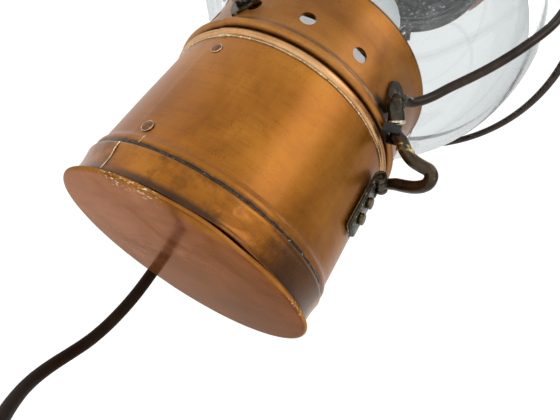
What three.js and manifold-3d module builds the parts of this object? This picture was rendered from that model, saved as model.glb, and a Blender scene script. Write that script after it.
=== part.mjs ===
// An electrified copper ship's anchor lantern: a copper drum base with a lampholder, and above it
// a lift-off lantern of collar, glass globe, wire guard, hood, chimney and bail. Millimetres, +Z up.
// The parts are drawn above the underside of the foot disc, then hung from the top of the bail.
import * as THREE from "three";
import { mergeVertices } from "three/addons/utils/BufferGeometryUtils.js";
import Module from "manifold-3d";

const wasm = await Module();
wasm.setup();

// Driving dimensions.
const GAP = 0.3; // clearance between pieces that touch
const DRUM = 57; // outer radius of the drum
const SHEET = 1.1; // copper sheet
const RIM = 59.4; // outer radius of the foot disc
const DECK = 81; // height of the deck inside the drum's top
const COLLAR_BOTTOM = 83.6;
const GLOBE_CENTRE = 190; // height of the globe's equator and of the guard hoop
const GLOBE_RADIUS = 100;
const GLOBE_HALF_HEIGHT = 82;
const GLASS = 3;
const HOOP_RADIUS = 114.2;
const GUARD_WIRE = 4.2;
const HOOK_ROD = 5.5;
const BAIL_ROD = 6.3;
const CORD = 6.3;
const VENTS = 14;
const VENT_RADIUS = 3.5;
const VENT_HEIGHT = 99;
const FIRST_VENT = -57.5; // degrees
const STRAP_TURN = 13.5; // degrees from a keeper round to the strap of its hook
const GLAND_TURN = 148.5; // degrees
const BAIL_PIVOT = 296; // height of the ears' holes
const BAIL_HALF_WIDTH = 79;
const BAIL_TOP = 412;
const FLOOR = -100; // the surface below, where the spare cord lies
const SEGMENTS = 24; // round the big shells

const COPPER = { color: 0x9a5f25, roughness: 0.35, metalness: 1 };
const DARK_COPPER = { color: 0x7a5038, roughness: 0.25, metalness: 1 };
const BRONZE = { color: 0x3a3024, roughness: 0.4, metalness: 1 };
const BRASS = { color: 0xb08d4a, roughness: 0.3, metalness: 1 };
const CLEAR_GLASS = { color: 0xdfe6e4, roughness: 0.02, metalness: 0, transparent: true, opacity: 0.3 };
const CORD_BROWN = { color: 0x2a1c14, roughness: 0.6, metalness: 0 };
const BLACK_PLASTIC = { color: 0x141414, roughness: 0.5, metalness: 0 };
const FELT = { color: 0x4a4640, roughness: 0.9, metalness: 0 };

const HANG_HEIGHT = BAIL_TOP - BAIL_ROD / 2;
const base = new THREE.Group();
const lantern = new THREE.Group();

// A named piece, drawn at azimuth 0 and turned to its own azimuth.
function addPiece(body, name, geometry, finish, azimuth = 0) {
  const piece = new THREE.Mesh(geometry, new THREE.MeshStandardMaterial(finish));
  piece.name = name;
  piece.rotation.z = THREE.MathUtils.degToRad(azimuth);
  body.add(piece);
}

// A point from its radius, height and azimuth in degrees.
function polar(radius, height, azimuth = 0) {
  const turn = THREE.MathUtils.degToRad(azimuth);
  return new THREE.Vector3(radius * Math.cos(turn), radius * Math.sin(turn), height);
}

// Turns a profile of [radius, height] points about Z. It starts and ends on the axis or is a loop.
function revolve(profile, segments = SEGMENTS) {
  const isLoop = profile[0][0] > 0;
  const points = profile.map(([radius, height]) => new THREE.Vector2(radius, height));
  if (THREE.ShapeUtils.area(points) < 0) points.reverse();
  if (isLoop) points.push(points[0].clone());
  return new THREE.LatheGeometry(points, segments).rotateX(Math.PI / 2);
}

// A washer or tube with square edges.
function ring(inner, outer, bottom, top, segments = SEGMENTS) {
  return revolve([[inner, bottom], [outer, bottom], [outer, top], [inner, top]], segments);
}

// A round bar through hand-chosen points.
function bar(points, diameter, sides, steps) {
  const section = new THREE.Shape();
  for (let side = 0; side < sides; side++) {
    const turn = (2 * Math.PI * side) / sides;
    const x = (diameter / 2) * Math.cos(turn);
    const y = (diameter / 2) * Math.sin(turn);
    if (side) section.lineTo(x, y);
    else section.moveTo(x, y);
  }
  const extrudePath = new THREE.CatmullRomCurve3(points);
  return new THREE.ExtrudeGeometry(section, { extrudePath, steps, bevelEnabled: false });
}

// A box between two corners.
function block([x0, y0, z0], [x1, y1, z1]) {
  const box = new THREE.BoxGeometry(x1 - x0, y1 - y0, z1 - z0);
  return box.translate((x0 + x1) / 2, (y0 + y1) / 2, (z0 + z1) / 2);
}

// A cylinder along X or Y between two coordinates on that axis.
function crossPin(axis, radius, from, to, [a, b], segments = 12) {
  const pin = new THREE.CylinderGeometry(radius, radius, to - from, segments);
  if (axis === "x") return pin.rotateZ(-Math.PI / 2).translate((from + to) / 2, a, b);
  return pin.translate(a, (from + to) / 2, b);
}

function solid(geometry) {
  const bare = geometry.index ? geometry.toNonIndexed() : geometry.clone();
  bare.deleteAttribute("normal");
  bare.deleteAttribute("uv");
  const merged = mergeVertices(bare, 1e-3);
  const vertProperties = merged.attributes.position.array;
  const triVerts = new Uint32Array(merged.index.array);
  return new wasm.Manifold(new wasm.Mesh({ numProp: 3, vertProperties, triVerts }));
}

// Joins the first list of shapes and cuts the second list from them.
function combine(joined, cut = []) {
  let body = solid(joined[0]);
  for (const shape of joined.slice(1)) body = body.add(solid(shape));
  for (const shape of cut) body = body.subtract(solid(shape));
  const { vertProperties, triVerts } = body.getMesh();
  const geometry = new THREE.BufferGeometry();
  geometry.setAttribute("position", new THREE.BufferAttribute(vertProperties, 3));
  geometry.setIndex(new THREE.BufferAttribute(triVerts, 1));
  return geometry;
}

// A domed rivet head whose flat side faces the axis, at azimuth 0.
function rivetHead(inner, height, radius, rise) {
  const profile = [[0, 0], [radius, 0], [radius * 0.9, rise * 0.6], [radius * 0.5, rise * 0.95], [0, rise]];
  return revolve(profile, 10).rotateY(Math.PI / 2).translate(inner, 0, height);
}

// The drum base.

const FOOT_DISC = [[0, 0], [57.8, 0], [59, 0.35], [RIM, 1.1], [59, 1.8], [57.6, 2], [0, 2]];
const FOOT_BAND = [
  [55.9, 2.3], [56.9, 2.3], [57.1, 8], [57.8, 12], [58.4, 14.4], [58, 15.6], [57, 15.9], [55.9, 15.9],
];
const DRUM_WALL = [
  [DRUM - SHEET, 16.2], [57.3, 16.2], [58, 17.4], [58, 19], [57.2, 20.8], [DRUM, 22.5], [DRUM, 78.3],
  [DRUM - SHEET, 78.3],
];
const TOP_BAND = [
  [56, 78.7], [57.4, 78.7], [58.4, 79.5], [58.6, 80.8], [58.3, 82], [57.5, 82.8], [56, 82.8],
];
const DECK_PLATE = [
  [8, DECK], [55.6, DECK], [55.6, 92], [54.5, 92], [54.5, DECK + SHEET], [8, DECK + SHEET],
];

function makeDrum() {
  const glandHole = crossPin("x", 4.6, 50, 62, [0, 44]).rotateZ(THREE.MathUtils.degToRad(GLAND_TURN));
  addPiece(base, "foot_disc", revolve(FOOT_DISC), DARK_COPPER);
  addPiece(base, "foot_band", revolve(FOOT_BAND), COPPER);
  addPiece(base, "drum_shell", combine([revolve(DRUM_WALL)], [glandHole]), COPPER);
  addPiece(base, "drum_top_band", revolve(TOP_BAND), COPPER);
  addPiece(base, "drum_deck", revolve(DECK_PLATE), COPPER);
  addPiece(base, "seam_rivet_lower", rivetHead(DRUM + GAP, 24.6, 2.5, 0.9), BRONZE, -83.5);
  addPiece(base, "seam_rivet_upper", rivetHead(DRUM + GAP, 69.7, 2.5, 0.9), BRONZE, -83.5);
}

// The bayonet lampholder and its bulb, standing on the deck.

const LAMPHOLDER = [
  [4, 72], [7.6, 72], [7.6, 82.4], [17, 82.4], [17, 84.4], [14.4, 86], [14.4, 104], [13.2, 104], [13.2, 88],
  [4, 88],
];
const BULB_CAP = [[0, 92.6], [7, 92.6], [11, 93.8], [11, 112], [0, 112]];
const BULB_GLASS = [
  [0, 198], [10, 196.2], [19, 191.3], [26, 183], [29.6, 172], [29.4, 162], [26, 151], [19, 137], [13, 124],
  [10.6, 112.3], [9.6, 112.3], [12, 124.3], [18, 137.5], [25, 151.5], [28.4, 162], [28.6, 172],
  [25.2, 182.5], [18.4, 190.5], [9.7, 195.2], [0, 197],
];

function makeLampholder() {
  addPiece(base, "lampholder_skirt", revolve(LAMPHOLDER, 16), BRASS);
  addPiece(base, "lampholder_insert", ring(2, 12.8, 88.4, 92.2, 16), BLACK_PLASTIC);
  addPiece(base, "lampholder_ring", ring(14.8, 17.2, 90, 95, 16), BRASS);
  addPiece(base, "lampholder_nut", ring(9.2, 13, 76.5, DECK - GAP, 6), BRASS);
  addPiece(base, "bulb_cap", revolve(BULB_CAP, 16), BRASS);
  addPiece(base, "bulb_glass", revolve(BULB_GLASS, 16), CLEAR_GLASS);
}

// The two side hooks. Each pivots on a strap riveted to the drum, and its upright tip stands in a
// keeper that is open outwards, so it leaves the keeper as the hook swings down.

const PIVOT_RADIUS = 60.8;
const PIVOT_HEIGHT = 69.9;
const PIN_RADIUS = 1.2;
const EYE_RADIUS = 2.9;
const EYE_HALF_WIDTH = 2.6;
const STRAP_HALF_WIDTH = 5.2;
const STRAP_FACE = 59.9;
const TIP_RADIUS = 64.6; // of the hook's upright tip from the lamp's axis
const TIP_TOP = 85.4;
const TIP_TURN = -2.6; // degrees from the side of the lamp to the hook's tip

function eye(from, to) {
  return crossPin("y", EYE_RADIUS, from, to, [PIVOT_RADIUS, PIVOT_HEIGHT], 16);
}

function eyeHole() {
  return crossPin("y", PIN_RADIUS + GAP, -9, 9, [PIVOT_RADIUS, PIVOT_HEIGHT], 16);
}

function strap() {
  const slot = EYE_HALF_WIDTH + GAP;
  const plate = block([57.5, -STRAP_HALF_WIDTH, 42], [STRAP_FACE, STRAP_HALF_WIDTH, 65.6]);
  const joined = [plate];
  for (const [from, to] of [[-STRAP_HALF_WIDTH, -slot], [slot, STRAP_HALF_WIDTH]]) {
    joined.push(block([57.5, from, 65.5], [STRAP_FACE, to, PIVOT_HEIGHT]));
    joined.push(eye(from, to));
  }
  return combine(joined, [eyeHole()]);
}

function hook() {
  const neck = block([PIVOT_RADIUS + 1.8, -EYE_HALF_WIDTH, 68.2], [65.6, EYE_HALF_WIDTH, 72.6]);
  const turn = THREE.MathUtils.degToRad(STRAP_TURN);
  const root = combine([eye(-EYE_HALF_WIDTH, EYE_HALF_WIDTH), neck], [eyeHole()]).rotateZ(turn);
  const route = [
    polar(64.4, 70.7, 13.5), polar(67.2, 70.7, 12.6), polar(71.1, 70.1, 11.6), polar(75.4, 69.6, 10.4),
    polar(79.2, 69.8, 9), polar(81.3, 70.6, 7.6), polar(81.9, 72.4, 6), polar(80.6, 73.7, 4.8),
    polar(78, 73.8, 3.6), polar(74.4, 74.2, 1.8), polar(71.1, 76.4, -0.3), polar(68.3, 80.1, -1.5),
    polar(65.4, 82.6, -2.3), polar(TIP_RADIUS, 84.2, TIP_TURN), polar(TIP_RADIUS, TIP_TOP, TIP_TURN),
  ];
  return combine([root, bar(route, HOOK_ROD, 8, 22)]);
}

// The keeper's mouth faces the way the hook's tip moves.
function keeper() {
  const turn = THREE.MathUtils.degToRad(STRAP_TURN);
  const outside = block([-5, -3.75, 80.2], [2.3, 3.75, 84.8]);
  const channel = block([-3, -3.05, 78], [3, 3.05, 88]);
  const place = polar(TIP_RADIUS, 0, TIP_TURN);
  const shaped = combine([outside], [channel]).rotateZ(turn).translate(place.x, place.y, 0);
  return combine([shaped], [revolve([[0, 75], [60.5, 75], [60.5, 95], [0, 95]])]);
}

function makeHooks() {
  for (const [side, azimuth] of [["right", 0], ["left", 180]]) {
    const strapAzimuth = azimuth + STRAP_TURN;
    const pin = crossPin("y", PIN_RADIUS, -4.9, 4.9, [PIVOT_RADIUS, PIVOT_HEIGHT], 16);
    addPiece(base, `strap_${side}`, strap(), BRONZE, strapAzimuth);
    addPiece(base, `hinge_pin_${side}`, pin, BRASS, strapAzimuth);
    for (const [level, height] of [["lower", 49.6], ["upper", 58.2]]) {
      const rivet = rivetHead(STRAP_FACE + GAP, height, 2.7, 1.8);
      addPiece(base, `strap_rivet_${level}_${side}`, rivet, BRASS, strapAzimuth);
    }
    addPiece(base, `hook_${side}`, hook(), BRONZE, azimuth);
    addPiece(lantern, `keeper_${side}`, keeper(), BRONZE, azimuth);
  }
}

// The supply cord: an elbow gland at the back of the drum, the cord down to the surface below,
// the spare length as a coil lying there, and a three-pin plug beside it.

const GLAND_RADIUS = 64; // of the cord's way down from the lamp's axis
const COIL_CENTRE = [-9, -69];
const COIL_INNER = 20.2;
const COIL_OUTER = 45.6;
const COIL_HEIGHT = 2 * CORD;
const LEAD_IN_RADIUS = 49; // of the cord's last curve before the coil
const PLUG_CENTRE = [-89, -121];
const PLUG_HEIGHT = 20;
const PLUG_NECK = -45; // where the cord enters the plug's strain relief

// The cord's way down, chosen by hand, as far as its last curve.
const CORD_ROUTE = [
  [-54.57, 33.44, 7.7], [-54.6, 33.5, 0], [-54.8, 33.7, -8], [-55.4, 33.8, -16], [-56.6, 33.5, -26],
  [-58.2, 32.6, -36], [-59.6, 30.6, -45], [-60.1, 27, -53], [-58.9, 22, -60.5], [-55, 15.8, -67.5],
  [-48.5, 9.3, -73.3], [-40.8, 3.4, -77.8], [-32.2, -2.3, -81.5], [-23, -7.8, -84.8], [-12, -13.4, -88],
  [0, -19.2, -91.3],
];
const CORD_TAIL = [
  [-22.2, -116.4, -91.5], [-30, -118.8, -91.7], [-38, -120.8, -90.6], [PLUG_NECK + GAP, -121, -90],
];

function gland() {
  const flange = crossPin("x", 8, DRUM + GAP, 59.2, [0, 44], 16);
  const nipple = crossPin("x", 4.2, 50, 58.5, [0, 44]);
  const barrel = crossPin("x", 6, 58.5, 69.4, [0, 44], 16);
  const outlet = new THREE.CylinderGeometry(5, 5, 10, 12).rotateX(Math.PI / 2);
  return combine([flange, nipple, barrel, outlet.translate(GLAND_RADIUS, 0, 39)]);
}

function plugBody() {
  const half = 25;
  const outline = new THREE.Shape();
  outline.moveTo(24, -half + 6);
  outline.lineTo(24, half - 6);
  outline.quadraticCurveTo(24, half, 17, half);
  outline.lineTo(4, half);
  outline.lineTo(-18, 17);
  outline.quadraticCurveTo(-24, 15, -24, 10);
  outline.lineTo(-24, -10);
  outline.quadraticCurveTo(-24, -15, -18, -17);
  outline.lineTo(4, -half);
  outline.lineTo(17, -half);
  outline.quadraticCurveTo(24, -half, 24, -half + 6);
  const depth = PLUG_HEIGHT - 3;
  const bevel = { bevelThickness: 1.5, bevelSize: 1.5, bevelOffset: -1.5, bevelSegments: 2 };
  const body = new THREE.ExtrudeGeometry(outline, { depth, curveSegments: 3, ...bevel });
  return body.translate(PLUG_CENTRE[0], PLUG_CENTRE[1], FLOOR + 1.5);
}

function plugPin(x, y, lengthX, lengthY, height) {
  const bottom = FLOOR + PLUG_HEIGHT + GAP;
  const [centreX, centreY] = PLUG_CENTRE;
  const low = [centreX + x - lengthX / 2, centreY + y - lengthY / 2, bottom];
  return block(low, [centreX + x + lengthX / 2, centreY + y + lengthY / 2, bottom + height]);
}

function makeCord() {
  const points = CORD_ROUTE.map((point) => new THREE.Vector3(...point));
  const [coilX, coilY] = COIL_CENTRE;
  for (const [azimuth, height] of [[62, -94.2], [45, -96.2], [28, -96.8]]) {
    const onCurve = polar(LEAD_IN_RADIUS, height, azimuth);
    points.push(onCurve.add(new THREE.Vector3(coilX, coilY, 0)));
  }
  const tail = CORD_TAIL.map((point) => new THREE.Vector3(...point));
  const relief = revolve([[0, 8], [4, 8], [4.9, 33.6], [0, 33.6]], 12).translate(GLAND_RADIUS, 0, 0);
  const coil = ring(COIL_INNER, COIL_OUTER, FLOOR, FLOOR + COIL_HEIGHT, 24).translate(coilX, coilY, 0);
  const neckLength = PLUG_CENTRE[0] + 24 + GAP - PLUG_NECK;
  const neck = new THREE.CylinderGeometry(3.9, 5.6, -neckLength, 12).rotateZ(-Math.PI / 2);
  neck.translate(PLUG_NECK + neckLength / 2, PLUG_CENTRE[1], FLOOR + PLUG_HEIGHT / 2);
  const nut = ring(5.4, 9, 0, 2.4, 6).rotateY(Math.PI / 2).translate(51.4, 0, 44);
  const innerLead = [
    polar(49.6, 44, GLAND_TURN), polar(40, 43, GLAND_TURN), polar(25, 44, GLAND_TURN),
    polar(10, 51, GLAND_TURN), polar(1.5, 62, GLAND_TURN), polar(0, 74), polar(0, 87),
  ];
  addPiece(base, "cord_gland", gland(), BRASS, GLAND_TURN);
  addPiece(base, "gland_nut", nut, BRASS, GLAND_TURN);
  addPiece(base, "cord_strain_relief", relief, BLACK_PLASTIC, GLAND_TURN);
  addPiece(base, "inner_lead", bar(innerLead, CORD, 8, 12), CORD_BROWN);
  addPiece(base, "cord_run", bar(points, CORD, 8, 26), CORD_BROWN);
  addPiece(base, "cord_coil", coil, CORD_BROWN);
  addPiece(base, "cord_tail", bar(tail, CORD, 8, 3), CORD_BROWN);
  addPiece(base, "plug_neck", neck, BLACK_PLASTIC);
  addPiece(base, "plug_body", plugBody(), BLACK_PLASTIC);
  addPiece(base, "plug_pin_earth", plugPin(-12, 0, 7.9, 3.9, 22.7), BRASS);
  addPiece(base, "plug_pin_live", plugPin(10.2, -11.1, 3.9, 6.35, 17.7), BRASS);
  addPiece(base, "plug_pin_neutral", plugPin(10.2, 11.1, 3.9, 6.35, 17.7), BRASS);
}

// The lantern: collar, globe between two felt rings, and the gallery that closes the globe's top.

const COLLAR = [
  [56.9, COLLAR_BOTTOM], [58.6, COLLAR_BOTTOM], [59.8, 84.6], [60.1, 85.8], [59.6, 87.2], [58.3, 88.4],
  [57.8, 90], [57.8, 118], [58.4, 121.5], [59.6, 124.4], [59.6, 125.4], [58.6, 125.4], [57.3, 121.8],
  [56.7, 118], [56.7, 89],
];
const GALLERY = [
  [58.6, 254.6], [59.6, 254.6], [59.6, 255.6], [58.4, 258.5], [57.8, 262], [57.8, 270.8], [58.3, 271.7],
  [59.8, 272.9], [60.1, 274.3], [58.6, 276.3], [56.9, 276.3], [56.7, 262], [57.3, 258.2],
];

// The same profile, mirrored about the globe's equator.
function mirrored(profile) {
  return profile.map(([radius, height]) => [radius, 2 * GLOBE_CENTRE - height]);
}

function globeSide(inset) {
  const side = [[55.6 - inset, 116], [55.6 - inset, 123], [56.6 - inset, 126]];
  for (let latitude = -48; latitude <= 48; latitude += 16) {
    const turn = THREE.MathUtils.degToRad(latitude);
    const height = GLOBE_CENTRE + (GLOBE_HALF_HEIGHT - inset) * Math.sin(turn);
    side.push([(GLOBE_RADIUS - inset) * Math.cos(turn), height]);
  }
  return [...side, ...mirrored(side.slice(0, 3)).reverse()];
}

function makeGlassAndCollars() {
  const vents = [];
  for (let vent = 0; vent < VENTS; vent++) {
    const turn = THREE.MathUtils.degToRad(FIRST_VENT + (360 * vent) / VENTS);
    vents.push(crossPin("x", VENT_RADIUS, 50, 64, [0, VENT_HEIGHT], 8).rotateZ(turn));
  }
  const seat = [[47, 111.6], [56.2, 111.6], [56.2, 112.8], [47, 112.8]];
  const felt = [[49, 113.1], [56.2, 113.1], [56.2, 115.7], [49, 115.7]];
  addPiece(lantern, "collar", combine([revolve(COLLAR)], vents), COPPER);
  addPiece(lantern, "gallery", revolve(GALLERY), COPPER);
  addPiece(lantern, "globe_seat_lower", revolve(seat), BRASS);
  addPiece(lantern, "globe_seat_upper", revolve(mirrored(seat)), BRASS);
  addPiece(lantern, "felt_ring_lower", revolve(felt), FELT);
  addPiece(lantern, "felt_ring_upper", revolve(mirrored(felt)), FELT);
  addPiece(lantern, "globe", revolve([...globeSide(0), ...globeSide(GLASS).reverse()]), CLEAR_GLASS);
}

// The wire guard: a hoop round the globe and four uprights, each ending in a wound knob by a lug.

const KNOB = [[0, -5.5], [3.4, -5.5], [3.9, -4], [3.9, 2.5], [3.3, 4.6], [0, 5.5]];
const KNOB_RADIUS = 63.1; // of the knobs' centres from the lamp's axis

// A knob about its own centre. The right one has been bent down sideways, the others stand.
function knob({ lean, height, turn }) {
  const shape = revolve(KNOB, 10).rotateX(THREE.MathUtils.degToRad(lean));
  return shape.translate(KNOB_RADIUS, 0, height).rotateZ(THREE.MathUtils.degToRad(turn));
}

const STANDING = {
  knob: { lean: 0, height: 103, turn: 0 },
  root: [[KNOB_RADIUS, 106, 0], [65.2, 109.2, 0], [70, 111.4, 0]],
  lugTurn: 0,
};
const BENT = {
  knob: { lean: 46.6, height: 91.7, turn: -7 },
  root: [[KNOB_RADIUS, 95, -10.6], [64.3, 98.2, -7.5], [65.3, 100, -4.4], [67.6, 104, -2.2], [70.8, 109.3, -0.6]],
  lugTurn: -7,
};

const BACK_LEAN = 12; // degrees by which the back wire's top stands aside of its foot

function upright(ending, topLean) {
  const lowerHalf = [[75.2, 115.4], [85, 125], [91.1, 132], [98.6, 142.6], [106.6, 158], [109.7, 175]];
  const upperHalf = [
    [106.6, 222], [98.6, 237.4], [91.1, 248], [85, 255], [76, 262.4], [69, 265.6], [63, 266.5],
  ];
  const route = [...lowerHalf, [109.7, GLOBE_CENTRE], [109.7, 205], ...upperHalf].map(([radius, height]) => {
    const share = Math.min(1, Math.max(0, (height - 208) / 34));
    return [radius, height, topLean * share * share * (3 - 2 * share)];
  });
  const points = [...ending.root, ...route].map(([radius, height, turn]) => polar(radius, height, turn));
  return combine([bar(points, GUARD_WIRE, 6, 26), knob(ending.knob)]);
}

// A shield-shaped lug plate with its point down.
function lug(bottom, height) {
  const half = 6.4;
  const outline = new THREE.Shape();
  outline.moveTo(0, 0);
  outline.quadraticCurveTo(half, height * 0.35, half, height * 0.75);
  outline.quadraticCurveTo(half * 0.6, height, 0, height);
  outline.quadraticCurveTo(-half * 0.6, height, -half, height * 0.75);
  outline.quadraticCurveTo(-half, height * 0.35, 0, 0);
  const plate = new THREE.ExtrudeGeometry(outline, { depth: 0.8, curveSegments: 3, bevelEnabled: false });
  return plate.rotateX(Math.PI / 2).rotateZ(Math.PI / 2).translate(58.1, 0, bottom);
}

function makeGuard() {
  const hoop = [];
  for (let side = 0; side < 6; side++) {
    const turn = (Math.PI * side) / 3;
    const radius = HOOP_RADIUS + (GUARD_WIRE / 2) * Math.cos(turn);
    hoop.push([radius, GLOBE_CENTRE + (GUARD_WIRE / 2) * Math.sin(turn)]);
  }
  addPiece(lantern, "guard_hoop", revolve(hoop), BRONZE);
  for (const [name, azimuth] of [["right", 0], ["back", 90], ["left", 180], ["front", -90]]) {
    const ending = name === "right" ? BENT : STANDING;
    const topLean = name === "back" ? BACK_LEAN : 0;
    addPiece(lantern, `guard_upright_${name}`, upright(ending, topLean), BRONZE, azimuth);
    addPiece(lantern, `lug_lower_${name}`, lug(91, 17), BRONZE, azimuth + ending.lugTurn);
  }
}

// The hood, its chimney and cap, and the bail that pivots in two ears on the hood's side.

const HOOD = [
  [57.4, 276.7], [66.9, 276.7], [67.9, 277.6], [67.9, 286], [66.6, 287.6], [60, 293.2], [48, 303],
  [38, 310.5], [31, 315.4], [29.2, 318], [28, 318], [30, 314.4], [37, 309.4], [47, 301.9], [59, 292],
  [65.6, 286.4], [66.8, 285], [66.8, 278], [57.4, 278],
];
const CHIMNEY = [
  [26.5, 312], [27.6, 312], [27.6, 318.3], [30, 318.3], [30, 319.4], [27.8, 320.4], [27.6, 337], [26.5, 337],
];
const CAP = [
  [0, 350.8], [12, 349.8], [23, 346.4], [25.8, 343.6], [25.8, 337.3], [33.9, 337.3], [33.9, 334],
  [35, 334], [35, 338.4], [33, 341.8], [24, 347.6], [12, 351], [0, 352],
];
const EAR_FACE = 70.2;
const BAIL_PIN_RADIUS = BAIL_ROD / 2;

function ear() {
  const plate = block([68.2, -7, 279], [EAR_FACE, 7, BAIL_PIVOT]);
  const top = crossPin("x", 7, 68.2, EAR_FACE, [0, BAIL_PIVOT], 16);
  const hole = crossPin("x", BAIL_PIN_RADIUS + GAP, 60, 80, [0, BAIL_PIVOT], 16);
  const rivets = [-4, 4].map((offset) => rivetHead(EAR_FACE - 0.1, 282.5, 2, 1.3).translate(0, offset, 0));
  return combine([plate, top, ...rivets], [hole]);
}

function bail() {
  const arch = [];
  const archCentre = BAIL_TOP - BAIL_HALF_WIDTH;
  for (let turn = 0; turn <= 180; turn += 15) {
    const point = polar(BAIL_HALF_WIDTH, 0, turn);
    arch.push([point.x, archCentre + point.y]);
  }
  const foot = [
    [65.6, BAIL_PIVOT], [71.5, BAIL_PIVOT], [76.6, 298.2], [BAIL_HALF_WIDTH, 304], [BAIL_HALF_WIDTH, 318],
  ];
  const otherFoot = foot.map(([y, z]) => [-y, z]).reverse();
  const points = [...foot, ...arch, ...otherFoot].map(([y, z]) => new THREE.Vector3(0, y, z));
  return bar(points, BAIL_ROD, 8, 44);
}

function makeTop() {
  const drafts = [];
  for (let hole = 0; hole < 8; hole++) {
    drafts.push(crossPin("x", 3, 20, 34, [0, 328.5], 8).rotateZ((Math.PI * hole) / 4));
  }
  addPiece(lantern, "hood", revolve(HOOD), COPPER);
  addPiece(lantern, "chimney", combine([revolve(CHIMNEY, 24)], drafts), COPPER);
  addPiece(lantern, "chimney_cap", revolve(CAP, 24), COPPER);
  addPiece(lantern, "bail_ear_back", ear(), BRONZE, 90);
  addPiece(lantern, "bail_ear_front", ear(), BRONZE, -90);
  addPiece(lantern, "bail", bail(), BRONZE);
}

makeDrum();
makeLampholder();
makeHooks();
makeCord();
makeGlassAndCollars();
makeGuard();
makeTop();

const lamp = new THREE.Group();
lamp.add(base, lantern);
lamp.position.z = -HANG_HEIGHT;

export default lamp;
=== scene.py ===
"""A copper anchor lantern, wired for the mains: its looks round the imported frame.

Lengths here are millimetres, and heights are above the underside of the foot disc, as the object is
drawn. place() turns them into the row's frame, whose origin is the top of the bail.
"""
import math

import bmesh
import bpy
from mathutils import Matrix, Vector, noise


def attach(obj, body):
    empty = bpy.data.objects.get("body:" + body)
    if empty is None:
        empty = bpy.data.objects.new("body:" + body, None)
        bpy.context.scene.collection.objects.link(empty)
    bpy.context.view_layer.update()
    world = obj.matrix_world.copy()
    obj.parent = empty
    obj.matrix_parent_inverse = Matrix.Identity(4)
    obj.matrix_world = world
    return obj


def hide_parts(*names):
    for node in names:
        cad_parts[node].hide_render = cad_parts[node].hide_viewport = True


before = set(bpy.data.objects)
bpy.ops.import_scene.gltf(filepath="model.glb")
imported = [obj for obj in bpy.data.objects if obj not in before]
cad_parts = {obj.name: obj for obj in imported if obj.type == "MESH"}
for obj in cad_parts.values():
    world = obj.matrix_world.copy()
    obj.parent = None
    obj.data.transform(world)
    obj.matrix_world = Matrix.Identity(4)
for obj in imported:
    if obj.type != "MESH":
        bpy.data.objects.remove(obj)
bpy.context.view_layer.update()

HANG_HEIGHT = 408.85  # of the frame's origin above the foot
FLOOR = -100.0  # the surface where the spare cord lies
GLOBE_CENTRE = 190.0
GLOBE_RADIUS = 100.0
GLOBE_HALF_HEIGHT = 82.0
GLASS = 3.0
KNOB_RADIUS = 63.1  # of the guard's knobs from the lamp's axis
STRAP_TURN = 13.5
PIVOT = (60.8, 69.9)  # radius and height of the hooks' pins
GLAND_TURN = 148.5
FIRST_VENT = -57.5
VENTS = 14
SEAM = -89.5  # azimuth of the lap seam
CORD = 6.3
GUARD_WIRE = 4.2
HOOK_ROD = 5.5
BAIL_ROD = 6.3
HOOP_RADIUS = 114.2
RIM_DENT = -44  # azimuth where the foot's rim was struck
BAND_DENT = -38  # azimuth of the dent in the foot band
SHARP = 38.0  # degrees between faces, from which their edge is drawn sharp


def place(x, y, z):
    return Vector((x, y, z - HANG_HEIGHT)) * 0.001


def polar(radius, height, azimuth=0.0):
    turn = math.radians(azimuth)
    return Vector((radius * math.cos(turn), radius * math.sin(turn), height))


def turned(azimuth):
    return Matrix.Rotation(math.radians(azimuth), 4, "Z")


def outward(radius, height, azimuth):
    """A local frame whose Z points away from the lamp's axis."""
    return turned(azimuth) @ Matrix.Translation((radius, 0, height)) @ Matrix.Rotation(math.pi / 2, 4, "Y")


def crosswise(radius, height, azimuth):
    """A local frame whose Z points along the drum's tangent."""
    return turned(azimuth) @ Matrix.Translation((radius, 0, height)) @ Matrix.Rotation(-math.pi / 2, 4, "X")


def bell(value, centre, width):
    return math.exp(-(((value - centre) / width) ** 2))


def eased(share):
    share = min(1.0, max(0.0, share))
    return share * share * (3 - 2 * share)


def turn_from(azimuth, start):
    """Degrees from start on to azimuth, from -180 to 180."""
    return (azimuth - start + 180) % 360 - 180


# ---------------------------------------------------------------- materials


def node(tree, kind, inputs=None, **settings):
    made = tree.nodes.new("ShaderNode" + kind)
    for key, value in settings.items():
        setattr(made, key, value)
    for key, value in (inputs or {}).items():
        if isinstance(value, bpy.types.NodeSocket):
            tree.links.new(value, made.inputs[key])
        else:
            made.inputs[key].default_value = value
    return made


def new_material(name, **sockets):
    material = bpy.data.materials.new(name)
    material.use_nodes = True
    shader = material.node_tree.nodes["Principled BSDF"]
    for key, value in sockets.items():
        shader.inputs[key.replace("_", " ")].default_value = value
    return material, material.node_tree, shader


def object_coordinates(tree, stretch=(1, 1, 1)):
    found = node(tree, "TexCoord").outputs["Object"]
    return node(tree, "Mapping", {"Vector": found, "Scale": stretch}).outputs[0]


def noise_of(tree, scale, stretch=(1, 1, 1), detail=4.0, roughness=0.55, distortion=0.0):
    settings = {
        "Vector": object_coordinates(tree, stretch),
        "Scale": scale,
        "Detail": detail,
        "Roughness": roughness,
        "Distortion": distortion,
    }
    return node(tree, "TexNoise", settings).outputs[0]


def ramp(tree, factor, stops):
    """A colour ramp. A stop is a position and a colour or a grey level."""
    made = node(tree, "ValToRGB", {"Fac": factor})
    elements = made.color_ramp.elements
    elements.remove(elements[-1])
    for index, (position, colour) in enumerate(stops):
        element = elements.new(position) if index else elements[0]
        element.position = position
        element.color = (colour,) * 3 + (1,) if isinstance(colour, (int, float)) else (*colour, 1)
    return made.outputs[0]


def maths(tree, operation, first, second=0.0):
    return node(tree, "Math", {0: first, 1: second}, operation=operation).outputs[0]


def times(tree, first, second):
    return maths(tree, "MULTIPLY", first, second)


def blended(tree, factor, first, second, kind="MIX"):
    inputs = {0: factor, 6: first, 7: second}
    made = node(tree, "Mix", inputs, data_type="RGBA", blend_type=kind)
    return made.outputs[2]


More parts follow.
